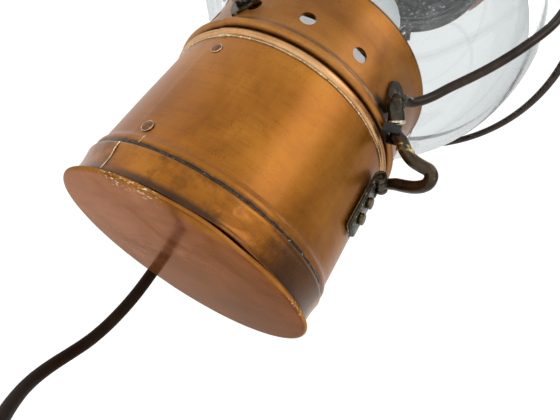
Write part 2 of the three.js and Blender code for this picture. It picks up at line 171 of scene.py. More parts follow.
def colour4(colour):
    return (*colour, 1.0)


def specks(tree, scale, size, cover):
    """A mask of small round specks in loose clusters. cover is the share of the surface without them."""
    cells = node(tree, "TexVoronoi", {"Vector": object_coordinates(tree), "Scale": scale}).outputs[0]
    dots = ramp(tree, cells, [(size * 0.6, 1.0), (size, 0.0)])
    where = ramp(tree, noise_of(tree, scale / 9, detail=3), [(cover, 0.0), (cover + 0.12, 1.0)])
    return times(tree, dots, where)


def height_mask(tree, stops):
    """A grey level by height. A stop is a height and a level."""
    heights = [height for height, _ in stops]
    low = place(0, 0, min(heights)).z
    high = place(0, 0, max(heights)).z
    z = node(tree, "SeparateXYZ", {0: object_coordinates(tree)}).outputs[2]
    share = node(tree, "MapRange", {0: z, 1: low, 2: high}).outputs[0]
    span = max(heights) - min(heights)
    return ramp(tree, share, [((height - min(heights)) / span, level) for height, level in stops])


def azimuth_mask(tree, azimuth, width):
    """1 at an azimuth, falling to 0 at width degrees from it."""
    direction = polar(1, 0, azimuth)
    flat = node(tree, "VectorMath", {0: object_coordinates(tree), 1: (1, 1, 0)}, operation="MULTIPLY")
    unit = node(tree, "VectorMath", {0: flat.outputs[0]}, operation="NORMALIZE")
    along = node(tree, "VectorMath", {0: unit.outputs[0], 1: direction}, operation="DOT_PRODUCT")
    edge = math.cos(math.radians(width))
    inputs = {0: along.outputs["Value"], 1: edge, 2: 1 - (1 - edge) * 0.25}
    return node(tree, "MapRange", inputs, interpolation_type="SMOOTHSTEP").outputs[0]


def set_surface(tree, shader, colour, roughness):
    tree.links.new(colour, shader.inputs["Base Color"])
    tree.links.new(roughness, shader.inputs["Roughness"])


def set_bump(tree, shader, height, distance, strength=0.5):
    made = node(tree, "Bump", {"Height": height, "Distance": distance, "Strength": strength})
    tree.links.new(made.outputs[0], shader.inputs["Normal"])


def copper(name, deep, middle, pale, rough, dirt, patches=0.0, dull=()):
    """Lacquered copper gone brown: broad colour drifts, rubbed grain both ways, dark specks.

    dirt is a list of heights and levels where grime lies. dull lists places darkened nearly to black, as
    (azimuth, width, low, high, level); on the collar this is a painted shadow with grime."""
    material, tree, shader = new_material(name, Metallic=0.88, Coat_Weight=0.25, Coat_Roughness=0.2)
    drift = noise_of(tree, 26, detail=5, roughness=0.6, distortion=0.6)
    base = ramp(tree, drift, [(0.28, deep), (0.5, middle), (0.72, pale)])
    around = noise_of(tree, 60, (0.5, 0.5, 14), detail=6, roughness=0.7)
    along = noise_of(tree, 420, (1, 1, 0.06), detail=3)
    grain = maths(tree, "ADD", times(tree, around, 0.65), times(tree, along, 0.35))
    shade = ramp(tree, grain, [(0.34, 0.8), (0.5, 0.96), (0.66, 1.0)])
    base = blended(tree, 1.0, base, shade, "MULTIPLY")
    dark = tuple(0.4 * level for level in deep)
    base = blended(tree, times(tree, specks(tree, 1500, 0.3, 0.5), 0.75), base, colour4(dark))
    base = blended(tree, times(tree, specks(tree, 620, 0.17, 0.58), 0.7), base, colour4(dark))
    if patches:
        where = ramp(tree, noise_of(tree, 75, detail=6, roughness=0.7), [(0.52, 0.0), (0.64, patches)])
        base = blended(tree, where, base, colour4(dark))
    uneven = ramp(tree, noise_of(tree, 220, detail=5), [(0.3, 0.45), (0.6, 1.0)])
    grime = times(tree, height_mask(tree, dirt), uneven)
    base = blended(tree, grime, base, (0.012, 0.009, 0.007, 1))
    # Places darkened nearly to black; on the collar, a painted shadow of the knob with grime.
    for azimuth, width, low, high, level in dull:
        band = height_mask(tree, [(low - 2, 0), (low, 1), (high, 1), (high + 2, 0)])
        where = times(tree, times(tree, azimuth_mask(tree, azimuth, width), band), level)
        base = blended(tree, where, base, (0.03, 0.018, 0.012, 1))
    roughness = ramp(tree, drift, [(0.3, rough - 0.05), (0.7, rough + 0.08)])
    set_surface(tree, shader, base, roughness)
    swell = times(tree, noise_of(tree, 45, detail=2), 6.0)
    set_bump(tree, shader, maths(tree, "ADD", grain, swell), 0.00003, 0.55)
    return material


def disc_copper():
    """The foot's underside: lacquered copper gone mauve brown, glossy enough to mirror the cord, with a
    painted reflection that makes one side lighter.
    """
    material, tree, shader = new_material("disc_copper", Metallic=0.5, Specular_IOR_Level=0.0)
    shader.inputs["Specular Tint"].default_value = (0.7, 0.59, 0.5, 1)
    # Painted reflection: the base is lighter towards azimuth -114 and darker towards 66, broken up by clouds.
    across = node(tree, "SeparateXYZ", {0: object_coordinates(tree, (-0.4, -0.92, 1))})
    side = maths(tree, "ADD", across.outputs[0], across.outputs[1])
    side = node(tree, "MapRange", {0: side, 1: -0.062, 2: 0.062}).outputs[0]
    cloud = noise_of(tree, 34, detail=5, roughness=0.6, distortion=0.8)
    side = maths(tree, "ADD", side, times(tree, maths(tree, "SUBTRACT", cloud, 0.5), 1.0))
    tones = [(0.1, (0.12, 0.032, 0.009)), (0.5, (0.22, 0.07, 0.024)), (0.9, (0.38, 0.16, 0.088))]
    base = ramp(tree, side, tones)
    streaks = noise_of(tree, 170, (0.3, 1.4, 1), detail=5, roughness=0.65)
    base = blended(tree, 1.0, base, ramp(tree, streaks, [(0.35, 0.86), (0.6, 1.0)]), "MULTIPLY")
    base = blended(tree, specks(tree, 420, 0.12, 0.6), base, (0.05, 0.02, 0.01, 1))
    base = blended(tree, specks(tree, 260, 0.05, 0.62), base, (0.5, 0.32, 0.24, 1))
    rim = height_mask(tree, [(-0.5, 0), (0.15, 0), (0.5, 1), (3, 1)])
    orange = ramp(tree, cloud, [(0.3, (0.2, 0.07, 0.012)), (0.6, (0.38, 0.15, 0.03))])
    base = blended(tree, rim, base, orange)
    flakes = ramp(tree, noise_of(tree, 760, (1, 1, 3), detail=5, roughness=0.7), [(0.56, 0), (0.6, 1)])
    near = azimuth_mask(tree, -72, 15)
    spots = times(tree, azimuth_mask(tree, 6, 12), 0.5)
    edge = height_mask(tree, [(-0.5, 0), (0.02, 0), (0.3, 1), (3, 1)])
    flakes = times(tree, times(tree, flakes, edge), maths(tree, "MAXIMUM", near, spots))
    base = blended(tree, flakes, base, (0.9, 0.74, 0.46, 1))
    set_surface(tree, shader, base, ramp(tree, cloud, [(0.3, 0.15), (0.7, 0.22)]))
    set_bump(tree, shader, streaks, 0.000012)
    return material


def aged_metal(name, dark, light, bright, rough, wear, scale=160.0):
    """Cast or forged metal with a dark skin, worn through to bright metal in small places."""
    material, tree, shader = new_material(name, Metallic=0.92, Coat_Weight=0.2, Coat_Roughness=0.25)
    cloud = noise_of(tree, scale, detail=6, roughness=0.65)
    base = ramp(tree, cloud, [(0.3, dark), (0.7, light)])
    patches = ramp(tree, noise_of(tree, scale * 1.7, detail=4), [(wear, 0.0), (wear + 0.06, 1.0)])
    base = blended(tree, patches, base, colour4(bright))
    base = blended(tree, specks(tree, 800, 0.25, 0.5), base, (0.01, 0.008, 0.006, 1))
    set_surface(tree, shader, base, ramp(tree, cloud, [(0.3, rough + 0.12), (0.7, rough - 0.04)]))
    set_bump(tree, shader, cloud, 0.00016)
    return material


def clear_glass(name, tint, dust):
    """Old glass, faintly wavy and green in its depth, with dust on it."""
    material, tree, shader = new_material(name, Transmission_Weight=1.0, IOR=1.47)
    haze = noise_of(tree, 40, detail=3)
    tree.links.new(ramp(tree, haze, [(0.3, 0.0), (0.8, 0.02)]), shader.inputs["Roughness"])
    shader.inputs["Base Color"].default_value = colour4(tint)
    waves = noise_of(tree, 22, (1, 1, 0.5), detail=1)
    set_bump(tree, shader, waves, 0.0003, 0.25)
    powder = node(tree, "BsdfPrincipled", {"Base Color": (0.8, 0.81, 0.82, 1), "Roughness": 0.9})
    where = times(tree, specks(tree, 500, 0.16, 0.56), dust)
    mixed = node(tree, "MixShader", {0: where, 1: shader.outputs[0], 2: powder.outputs[0]})
    tree.links.new(mixed.outputs[0], tree.nodes["Material Output"].inputs[0])
    green = node(tree, "VolumeAbsorption", {"Color": (0.8, 0.86, 0.84, 1), "Density": 60.0})
    tree.links.new(green.outputs[0], tree.nodes["Material Output"].inputs["Volume"])
    return material


def frosted_glass_and_glow():
    """Frosted glass with a faint painted glow, and painted light that makes it palest in the bulb's neck."""
    # The emission is a painted glow; the bulb is not lit.
    settings = {"Transmission_Weight": 0.1, "IOR": 1.45, "Emission_Strength": 0.12}
    material, tree, shader = new_material("bulb_frost_and_painted_glow", **settings)
    shader.inputs["Emission Color"].default_value = (1, 1, 1, 1)
    cloud = noise_of(tree, 60, detail=3)
    base = ramp(tree, cloud, [(0.3, (0.52, 0.56, 0.56)), (0.7, (0.66, 0.69, 0.69))])
    # Painted light: the neck is made near white.
    neck = height_mask(tree, [(110, 1), (140, 1), (160, 0), (200, 0)])
    base = blended(tree, neck, base, (0.98, 0.98, 0.98, 1))
    set_surface(tree, shader, base, ramp(tree, cloud, [(0.3, 0.5), (0.7, 0.6)]))
    return material


def soot():
    """The sooty inside of the hood, with pale specks of ash and bare tin."""
    material, tree, shader = new_material("soot")
    cloud = noise_of(tree, 42, detail=6, roughness=0.7)
    tones = [(0.36, (0.004, 0.004, 0.006)), (0.52, (0.02, 0.02, 0.026)), (0.68, (0.3, 0.3, 0.31))]
    base = ramp(tree, cloud, tones)
    base = blended(tree, specks(tree, 300, 0.3, 0.38), base, (0.85, 0.85, 0.86, 1))
    set_surface(tree, shader, base, ramp(tree, cloud, [(0.3, 0.75), (0.7, 0.5)]))
    set_bump(tree, shader, cloud, 0.0004, 0.6)
    return material


def cord_rubber():
    """Smooth brown flex, very dark, with faint drawn lines and dust."""
    material, tree, shader = new_material("cord_brown", Specular_IOR_Level=0.06)
    cloud = noise_of(tree, 90, detail=5)
    base = ramp(tree, cloud, [(0.3, (0.012, 0.005, 0.0018)), (0.7, (0.024, 0.0115, 0.005))])
    base = blended(tree, specks(tree, 900, 0.18, 0.55), base, (0.06, 0.04, 0.028, 1))
    set_surface(tree, shader, base, ramp(tree, cloud, [(0.3, 0.48), (0.7, 0.58)]))
    set_bump(tree, shader, noise_of(tree, 500, detail=3), 0.00005, 0.3)
    return material


def plain_surface(name, low, high, rough, scale=300.0, depth=0.00006, wear=None):
    """Moulded plastic, felt or porcelain: two near tones, a fine bump, and a few specks."""
    material, tree, shader = new_material(name, Metallic=0.0)
    cloud = noise_of(tree, scale, detail=5, roughness=0.6)
    base = ramp(tree, cloud, [(0.3, low), (0.7, high)])
    if wear:
        base = blended(tree, specks(tree, scale * 2, 0.2, 0.5), base, colour4(wear))
    set_surface(tree, shader, base, ramp(tree, cloud, [(0.3, rough - 0.06), (0.7, rough + 0.06)]))
    set_bump(tree, shader, cloud, depth)
    return material


DEEP = (0.24, 0.074, 0.005)
MIDDLE = (0.4, 0.135, 0.007)
PALE = (0.52, 0.2, 0.016)

COLLAR_MIDDLE = (0.38, 0.14, 0.016)
COLLAR_PALE = (0.47, 0.195, 0.034)

DRUM_COPPER = copper(
    "drum_copper", DEEP, MIDDLE, PALE, 0.36,
    dirt=[(14, 1), (16.8, 0.9), (18, 0.1), (77, 0), (78.4, 0.55)],
)
BAND_COPPER = copper(
    "band_copper", DEEP, MIDDLE, PALE, 0.28,
    dirt=[(2, 0.95), (3.6, 0.5), (6, 0.05), (14.9, 0.1), (16, 0.9)],
    patches=0.6,
    dull=[(-60, 26, 2, 4.6, 0.8), (2, 26, 2, 14, 0.7)],
)
BEAD_COPPER = copper(
    "bead_copper", (0.34, 0.13, 0.03), (0.55, 0.26, 0.08), (0.75, 0.42, 0.18), 0.2,
    dirt=[(78, 0.8), (79, 0.1), (82, 0.1), (83, 0.95)],
)
COLLAR_COPPER = copper(
    "collar_copper", DEEP, COLLAR_MIDDLE, COLLAR_PALE, 0.36,
    dirt=[(83, 0.95), (84.2, 0.1), (88, 0.15), (89.2, 0.6), (91, 0), (126, 0)],
    # A painted shadow of the right knob, with grime, on the collar just above its bead.
    dull=[(-9, 9, 87, 92, 0.85)],
)
HOOD_COPPER = copper(
    "hood_copper", DEEP, COLLAR_MIDDLE, COLLAR_PALE, 0.33,
    dirt=[(250, 0), (276, 0.1), (277, 0.8), (279, 0), (355, 0)],
)
DISC_COPPER = disc_copper()
BRONZE = aged_metal(
    "dark_bronze", (0.016, 0.011, 0.007), (0.06, 0.043, 0.028), (0.4, 0.28, 0.1), 0.3, 0.66,
)
KEEPER_BRONZE = aged_metal(
    "keeper_bronze", (0.018, 0.019, 0.018), (0.06, 0.062, 0.058), (0.3, 0.3, 0.26), 0.42, 0.66,
)
WORN_BRONZE = aged_metal(
    "worn_bronze", (0.02, 0.016, 0.009), (0.09, 0.075, 0.042), (0.42, 0.37, 0.25), 0.28, 0.62, 260,
)
WIRE_BRONZE = aged_metal(
    "wire_bronze", (0.016, 0.011, 0.008), (0.045, 0.03, 0.02), (0.12, 0.085, 0.05), 0.36, 0.72,
)
BRASS = aged_metal("old_brass", (0.3, 0.2, 0.08), (0.58, 0.42, 0.19), (0.8, 0.68, 0.42), 0.22, 0.62)
BROWN_RIVET = aged_metal(
    "brown_rivet", (0.12, 0.045, 0.012), (0.26, 0.1, 0.025), (0.6, 0.4, 0.16), 0.24, 0.66, 400,
)
DARK_SOLDER = aged_metal(
    "dark_solder", (0.014, 0.011, 0.007), (0.08, 0.064, 0.044), (0.62, 0.58, 0.48), 0.34, 0.64, 420,
)
BRIGHT_RING = aged_metal(
    "bright_ring", (0.42, 0.36, 0.22), (0.7, 0.64, 0.48), (0.9, 0.86, 0.74), 0.2, 0.55, 500,
)
DARK_GOLD = aged_metal(
    "dark_gold", (0.035, 0.026, 0.011), (0.13, 0.098, 0.04), (0.4, 0.31, 0.13), 0.28, 0.62, 420,
)
VERDIGRIS = aged_metal(
    "verdigris", (0.02, 0.02, 0.012), (0.09, 0.085, 0.055), (0.52, 0.5, 0.36), 0.25, 0.6, 420,
)
KNOB_BRONZE = aged_metal(
    "knob_bronze", (0.018, 0.016, 0.01), (0.07, 0.06, 0.038), (0.42, 0.37, 0.26), 0.2, 0.66,
)
PALE_SOLDER = aged_metal(
    "pale_solder", (0.3, 0.2, 0.09), (0.62, 0.48, 0.28), (0.8, 0.74, 0.58), 0.24, 0.6, 500,
)
GLOBE_GLASS = clear_glass("globe_glass", (0.955, 0.965, 0.967), 0.6)
BULB_FROST_AND_GLOW = frosted_glass_and_glow()
SOOT = soot()
CORD_BROWN = cord_rubber()
BLACK_PLASTIC = plain_surface(
    "black_plastic", (0.011, 0.011, 0.012), (0.02, 0.02, 0.021), 0.42, wear=(0.05, 0.05, 0.05),
)
PALE_FELT = plain_surface(
    "pale_felt", (0.42, 0.42, 0.41), (0.6, 0.6, 0.58), 0.92, 900, 0.0005, wear=(0.8, 0.8, 0.78),
)
PORCELAIN = plain_surface("lampholder_insert", (0.05, 0.035, 0.025), (0.09, 0.065, 0.05), 0.4, 200)
TIE = plain_surface("tie_plastic", (0.05, 0.05, 0.05), (0.09, 0.09, 0.09), 0.5, 500)


# ---------------------------------------------------------------- shapes


def filleted(points, radius, steps=4):
    """A closed profile with each corner rounded, except those on the axis."""
    rounded = []
    count = len(points)
    for index, corner in enumerate(points):
        here = Vector(corner)
        before = Vector(points[index - 1])
        after = Vector(points[(index + 1) % count])
        reach = min(radius, 0.48 * (here - before).length, 0.48 * (after - here).length)
        if here.x < 1e-6 or reach < 0.02:
            rounded.append(here)
            continue
        start = here + (before - here).normalized() * reach
        finish = here + (after - here).normalized() * reach
        for step in range(steps + 1):
            share = step / steps
            point = start * (1 - share) ** 2 + here * 2 * share * (1 - share) + finish * share**2
            rounded.append(point)
    return rounded


def add_lathe(mesh, profile, matrix=None, columns=96, fillet=0.4, warp=None, index=0, inner_index=None):
    """Turns a closed profile of (radius, height) about Z. warp(radius, height, azimuth) moves a point."""
    section = filleted(profile, fillet)
    matrix = matrix or Matrix.Identity(4)
    rings = []
    for column in range(columns):
        azimuth = 360.0 * column / columns
        ring = []
        for radius, height in section:
            if warp:
                radius, height = warp(radius, height, azimuth)
            ring.append(mesh.verts.new(place(*(matrix @ polar(radius, height, azimuth)))))
        rings.append(ring)
    for column, ring in enumerate(rings):
        following = rings[(column + 1) % columns]
        for row in range(len(section)):
            above = (row + 1) % len(section)
            if section[row].x < 1e-6 and section[above].x < 1e-6:
                continue
            corners = [ring[row], following[row], following[above], ring[above]]
            face = mesh.faces.new(corners)
            face.material_index = index
            if inner_index is not None and inside(section[row], section[above]):
                face.material_index = inner_index
    bmesh.ops.remove_doubles(mesh, verts=[vertex for ring in rings for vertex in ring], dist=1e-7)


def inside(first, second):
    """True for the part of an anticlockwise profile that faces the lamp's axis, or down inside a hood."""
    across, up = second.x - first.x, second.y - first.y
    length = math.hypot(across, up) or 1.0
    return up / length < -0.15 or (across / length > 0.3 and first.x < 56)


def smoothed(points, per_span=8):
    """Points on a centripetal curve through the given ones."""
    points = [Vector(point) for point in points]
    ends = [points[0] * 2 - points[1], *points, points[-1] * 2 - points[-2]]
    curve = []
    for index in range(1, len(ends) - 2):
        a, b, c, d = ends[index - 1 : index + 3]
        t1 = (b - a).length ** 0.5
        t2 = t1 + (c - b).length ** 0.5
        t3 = t2 + (d - c).length ** 0.5
        for step in range(per_span):
            t = t1 + (t2 - t1) * step / per_span
            ab = a * ((t1 - t) / t1) + b * (t / t1)
            bc = b * ((t2 - t) / (t2 - t1)) + c * ((t - t1) / (t2 - t1))
            cd = c * ((t3 - t) / (t3 - t2)) + d * ((t - t2) / (t3 - t2))
            abc = ab * ((t2 - t) / t2) + bc * (t / t2)
            bcd = bc * ((t3 - t) / (t3 - t1)) + cd * ((t - t1) / (t3 - t1))
            curve.append(abc * ((t2 - t) / (t2 - t1)) + bcd * ((t - t1) / (t2 - t1)))
    curve.append(points[-1])
    return curve


def add_sweep(mesh, path, radius, sides=20, closed=False, index=0, dome=0.6):
    """A rod along a path. radius is a number or a function of the share of the way along."""
    count = len(path)
    size = radius if callable(radius) else (lambda share: radius)
    side = None
    rings = []
    for step, point in enumerate(path):
        after = path[(step + 1) % count] if closed else path[min(step + 1, count - 1)]
        before = path[step - 1] if closed or step else path[0]
        ahead = (after - before).normalized()
        if side is None:
            side = ahead.orthogonal()
        side = (side - ahead * side.dot(ahead)).normalized()
        rings.append((point, side.copy(), ahead.cross(side), size(step / (count - 1)), ahead))
    if not closed:
        rings = [*capped(rings[0], -1, dome), *rings, *reversed(capped(rings[-1], 1, dome))]
    loops = []
    for point, side, up, reach, _ in rings:
        loop = []
        for corner in range(sides):
            turn = 2 * math.pi * corner / sides
            spoke = side * reach * math.cos(turn) + up * reach * math.sin(turn)
            loop.append(mesh.verts.new(place(*(point + spoke))))
        loops.append(loop)
    pairs = list(zip(loops, loops[1:])) + ([(loops[-1], loops[0])] if closed else [])
    faces = []
    for low, high in pairs:
        for corner in range(sides):
            after = (corner + 1) % sides
            faces.append(mesh.faces.new([low[corner], low[after], high[after], high[corner]]))
    if not closed:
        faces.append(mesh.faces.new(loops[0]))
        faces.append(mesh.faces.new(loops[-1]))
    for face in faces:
        face.material_index = index


def capped(ring, way, dome):
    """Three rings that close a rod's end in a low dome, from its tip inwards."""
    point, side, up, reach, ahead = ring
    made = []
    for turn in (80, 55, 28):
        angle = math.radians(turn)
        shift = ahead * way * reach * dome * math.sin(angle)
        made.append((point + shift, side, up, reach * math.cos(angle), ahead))
    return made


def add_block(mesh, low, high, matrix=None, bevel=0.5, index=0):
    """A box with rounded edges, between two corners of a local frame."""
    matrix = matrix or Matrix.Identity(4)
    made = bmesh.new()
    bmesh.ops.create_cube(made, size=1)
    for vertex in made.verts:
        for axis in range(3):
            vertex.co[axis] = low[axis] if vertex.co[axis] < 0 else high[axis]
    bmesh.ops.bevel(made, geom=made.edges[:], offset=bevel, segments=3, affect="EDGES", profile=0.5)
    moved = {vertex: mesh.verts.new(place(*(matrix @ vertex.co))) for vertex in made.verts}
    for face in made.faces:
        copied = mesh.faces.new([moved[vertex] for vertex in face.verts])
        copied.material_index = index
    made.free()


def linked(name, data):
    made = bpy.data.objects.new(name, data)
    bpy.context.scene.collection.objects.link(made)
    return made


def mesh_data(name, mesh):
    data = bpy.data.meshes.new(name)
    mesh.to_mesh(data)
    mesh.free()
    return data


def smooth(data, sharp=SHARP):
    data.shade_smooth()
    data.set_sharp_from_angle(angle=math.radians(sharp))


def piece(name, mesh, body, materials, stands_for=()):
    """Makes an object of the mesh, on its body, with its finish, in place of CAD nodes."""
    bmesh.ops.recalc_face_normals(mesh, faces=mesh.faces[:])
    data = mesh_data(name, mesh)
    smooth(data)
    made = linked(name, data)
    for material in materials if isinstance(materials, list) else [materials]:
        data.materials.append(material)
    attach(made, body)
    if stands_for:
        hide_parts(*stands_for)
    return made


def pierce(target, cutters):
    """Cuts round holes in a piece. A cutter is a local frame and a radius."""
    mesh = bmesh.new()
    for matrix, radius in cutters:
        add_lathe(mesh, [(0, -9), (radius, -9), (radius, 9), (0, 9)], matrix, 40, 0)
    bmesh.ops.recalc_face_normals(mesh, faces=mesh.faces[:])
    cutter = linked("cutter", mesh_data("cutter", mesh))
    modifier = target.modifiers.new("holes", "BOOLEAN")
    modifier.object = cutter
    modifier.operation = "DIFFERENCE"
    modifier.solver = "EXACT"
    bpy.context.view_layer.update()
    shaped = target.evaluated_get(bpy.context.evaluated_depsgraph_get())
    cut = bpy.data.meshes.new_from_object(shaped)
    target.modifiers.clear()
    target.data = cut
    smooth(cut)
    bpy.data.objects.remove(cutter)


# ---------------------------------------------------------------- camera, light and floor


def make_camera():
    """Below the foot and to its front right, looking up at the drum."""
    data = bpy.data.cameras.new("camera")
    data.lens = 28.83
    data.clip_start = 0.005
    camera = linked("camera", data)
    right = Vector((0.78048, 0.39366, 0.48569))
    up = Vector((-0.16246, -0.62248, 0.76559))
    back = Vector((0.60372, -0.67643, -0.42188))
    turn = Matrix((right, up, back)).transposed()
    camera.matrix_world = Matrix.Translation(place(144.6, -127.9, -42.8)) @ turn.to_4x4()
    bpy.context.scene.camera = camera


def make_world():
    """An even white studio, brighter towards the key side and duller on the right."""
    world = bpy.data.worlds.new("studio")
    world.use_nodes = True
    tree = world.node_tree
    tree.nodes.clear()
    direction = node(tree, "TexCoord").outputs["Generated"]
    low = node(tree, "VectorMath", {0: direction, 1: polar(0.9, 0.42, 28)}, operation="DOT_PRODUCT")
    dull = node(tree, "MapRange", {0: low.outputs["Value"], 1: 0.45, 2: 1.0, 3: 0.0, 4: 0.42})
    level = maths(tree, "SUBTRACT", 0.86, dull.outputs[0])
    soft = node(tree, "Background", {"Color": (0.99, 0.995, 1.0, 1), "Strength": level})
    plain = node(tree, "Background", {"Color": (1, 1, 1, 1), "Strength": 1.1})
    seen = node(tree, "LightPath").outputs["Is Camera Ray"]
    mixed = node(tree, "MixShader", {0: seen, 1: soft.outputs[0], 2: plain.outputs[0]})
    output = tree.nodes.new("ShaderNodeOutputWorld")
    tree.links.new(mixed.outputs[0], output.inputs[0])
    bpy.context.scene.world = world
    bpy.context.scene.view_settings.view_transform = "Standard"


def make_light(name, azimuth, elevation, distance, width, height, watts):
    """A soft box that faces the drum, distance metres away."""
    data = bpy.data.lights.new(name, "AREA")
    data.shape = "RECTANGLE"
    data.size, data.size_y, data.energy = width, height, watts
    light = linked(name, data)
    turn = math.radians(elevation)
    away = polar(math.cos(turn), math.sin(turn), azimuth)
    light.location = place(0, 0, 60) + away * distance
    light.rotation_mode = "QUATERNION"
    light.rotation_quaternion = away.to_track_quat("Z", "Y")
    light.visible_camera = False


def make_floor():
    mesh = bmesh.new()
    bmesh.ops.create_grid(mesh, x_segments=24, y_segments=24, size=30)
    data = mesh_data("floor", mesh)
    floor = linked("floor", data)
    floor.location = place(0, 0, FLOOR - 0.05)
    material, tree, shader = new_material("floor_white", Roughness=0.9, Emission_Strength=0.3)
    paper = ramp(tree, noise_of(tree, 3, detail=3), [(0.3, 0.88), (0.7, 0.91)])
    tree.links.new(paper, shader.inputs["Base Color"])
    shader.inputs["Emission Color"].default_value = (1, 1, 1, 1)
    data.materials.append(material)


# ---------------------------------------------------------------- the cord

CORD_EXIT = (-54.57, 33.44, 7.7)
# The way down from the gland and round to the coil, the same as in the drawing.
CORD_ROUTE = [
    CORD_EXIT, (-54.6, 33.5, 0), (-54.8, 33.7, -8), (-55.4, 33.8, -16), (-56.6, 33.5, -26),
    (-58.2, 32.6, -36), (-59.6, 30.6, -45), (-60.1, 27, -53), (-58.9, 22, -60.5), (-55, 15.8, -67.5),
    (-48.5, 9.3, -73.3), (-40.8, 3.4, -77.8), (-32.2, -2.3, -81.5), (-23, -7.8, -84.8),
    (-12, -13.4, -88), (0, -19.2, -91.3),
]
CORD_TAIL = [(-22.2, -116.4, -91.5), (-30, -118.8, -91.7), (-38, -120.8, -90.6), (-44.7, -121, -90)]
COIL_CENTRE = Vector((-9, -69, 0))
LEAD_IN = [(62, -94.2), (45, -96.2)]  # azimuth and height on the last curve before the coil
LEAD_IN_RADIUS = 49.0
COIL_START = 28.0  # azimuth where the cord joins the coil; it winds clockwise seen from above
WINDINGS = (42.4, 36.05, 29.7, 23.35)
LOW_LAYER = FLOOR + CORD / 2

# Degrees wound from the first winding's start, the radius, and the layer, at each change.
COIL_PLAN = [
    (-100, LEAD_IN_RADIUS, 0), (0, WINDINGS[0], 0), (260, WINDINGS[0], 0), (360, WINDINGS[1], 0),
    (620, WINDINGS[1], 0), (720, WINDINGS[2], 0), (980, WINDINGS[2], 0), (1080, WINDINGS[3], 0),
    (1280, WINDINGS[3], 0), (1340, WINDINGS[3], 1), (1590, WINDINGS[3], 1), (1650, WINDINGS[2], 1),
    (1950, WINDINGS[2], 1), (2010, WINDINGS[1], 1), (2310, WINDINGS[1], 1), (2370, WINDINGS[0], 1),
    (2523, WINDINGS[0], 1),
]


def coil_point(wound):
    for (start, radius0, layer0), (end, radius1, layer1) in zip(COIL_PLAN, COIL_PLAN[1:]):
        if wound <= end:
            break
    share = eased((wound - start) / (end - start))
    radius = radius0 + (radius1 - radius0) * share
    layer = layer0 + (layer1 - layer0) * share
    azimuth = COIL_START - 100 - wound
    return COIL_CENTRE + polar(radius, LOW_LAYER + layer * CORD, azimuth)


def cord_points():
    points = [Vector(point) for point in CORD_ROUTE]
    points += [COIL_CENTRE + polar(LEAD_IN_RADIUS, height, azimuth) for azimuth, height in LEAD_IN]
    wound = COIL_PLAN[0][0]
    end = COIL_PLAN[-1][0]
    steps = round((end - wound) / 18)
    for step in range(steps + 1):
        points.append(coil_point(wound + (end - wound) * step / steps))
    return points + [Vector(point) for point in CORD_TAIL]


def curve_piece(name, points, diameter, body, material):
    """A round cord as one open smooth curve."""
    data = bpy.data.curves.new(name, "CURVE")
    data.dimensions = "3D"
    data.bevel_depth = diameter * 0.0005
    data.bevel_resolution = 5
    data.resolution_u = 5
    data.use_fill_caps = True
    spline = data.splines.new("BEZIER")
    spline.bezier_points.add(len(points) - 1)
    for bezier, point in zip(spline.bezier_points, points):
        bezier.co = place(*point)
        bezier.handle_left_type = bezier.handle_right_type = "AUTO"
    data.materials.append(material)
    made = linked(name, data)
    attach(made, body)
    return made


def make_cord():
    flex = curve_piece("flex", cord_points(), CORD, "base", CORD_BROWN)
    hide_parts("cord_run", "cord_coil", "cord_tail")
    way_in = [(49.6, 44), (40, 43), (25, 44), (10, 51), (1.5, 62), (0, 74), (0, 87)]
    inside_lead = [polar(radius, height, GLAND_TURN) for radius, height in way_in]
    lead = curve_piece("flex_inside", inside_lead, CORD, "base", CORD_BROWN)
    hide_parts("inner_lead")
    relief = make_strain_relief()
    tie = make_tie()
    make_plug()


def ribs(count, bottom, radius, growth, land, depth):
    """The outline of a sleeve's grip rings, each a little wider than the last."""
    outline = []
    for step in range(count):
        low = bottom + 2.9 * step
        crest = radius + growth * step
        groove = crest - depth
        outline += [(crest, low), (crest, low + land), (groove, low + land + 0.3), (groove, low + land + 0.8)]
    return outline


def make_strain_relief():
    """A tapered rubber sleeve with grip rings, under the gland's outlet."""
    profile = [(3.3, 8.2), (3.9, 8.2), *ribs(8, 9.5, 4.0, 0.11, 1.9, 0.45)]
    profile += [(4.9, 33.0), (4.9, 33.6), (3.3, 33.6)]
    mesh = bmesh.new()
    add_lathe(mesh, profile, turned(GLAND_TURN) @ Matrix.Translation((64, 0, 0)), 40, 0.2)
    return piece("strain_relief", mesh, "base", BLACK_PLASTIC, ["cord_strain_relief"])


def make_tie():
    """A flat wire tie round the coil, its ends twisted together on top."""
    mesh = bmesh.new()
    middle, half, top = 32.9, 12.9, FLOOR + 2 * CORD + 0.4
    low = FLOOR + 0.45
    inner, outer = middle - half, middle + half
    corners = [
        (inner, low + 2), (inner + 2, low), (outer - 2, low), (outer, low + 2),
        (outer, top - 2), (outer - 2, top), (inner + 2, top), (inner, top - 2),
    ]
    section = filleted(corners, 1.4)
    matrix = Matrix.Translation(COIL_CENTRE) @ turned(205)
    loop = [matrix @ Vector((radius, 0, height)) for radius, height in section]
    add_sweep(mesh, loop, 0.62, 10, closed=True)
    for way in (0, math.pi):
        twist = []
        for step in range(26):
            turn = way + step * 0.75
            spread = 0.65 + (0 if step < 20 else 0.25 * (step - 19))
            height = top + 0.9 + spread * math.sin(turn)
            twist.append(matrix @ Vector((middle + 1 + step * 0.42, spread * math.cos(turn), height)))
        add_sweep(mesh, smoothed(twist, 2), 0.6, 8)
    return piece("coil_tie", mesh, "base", TIE)


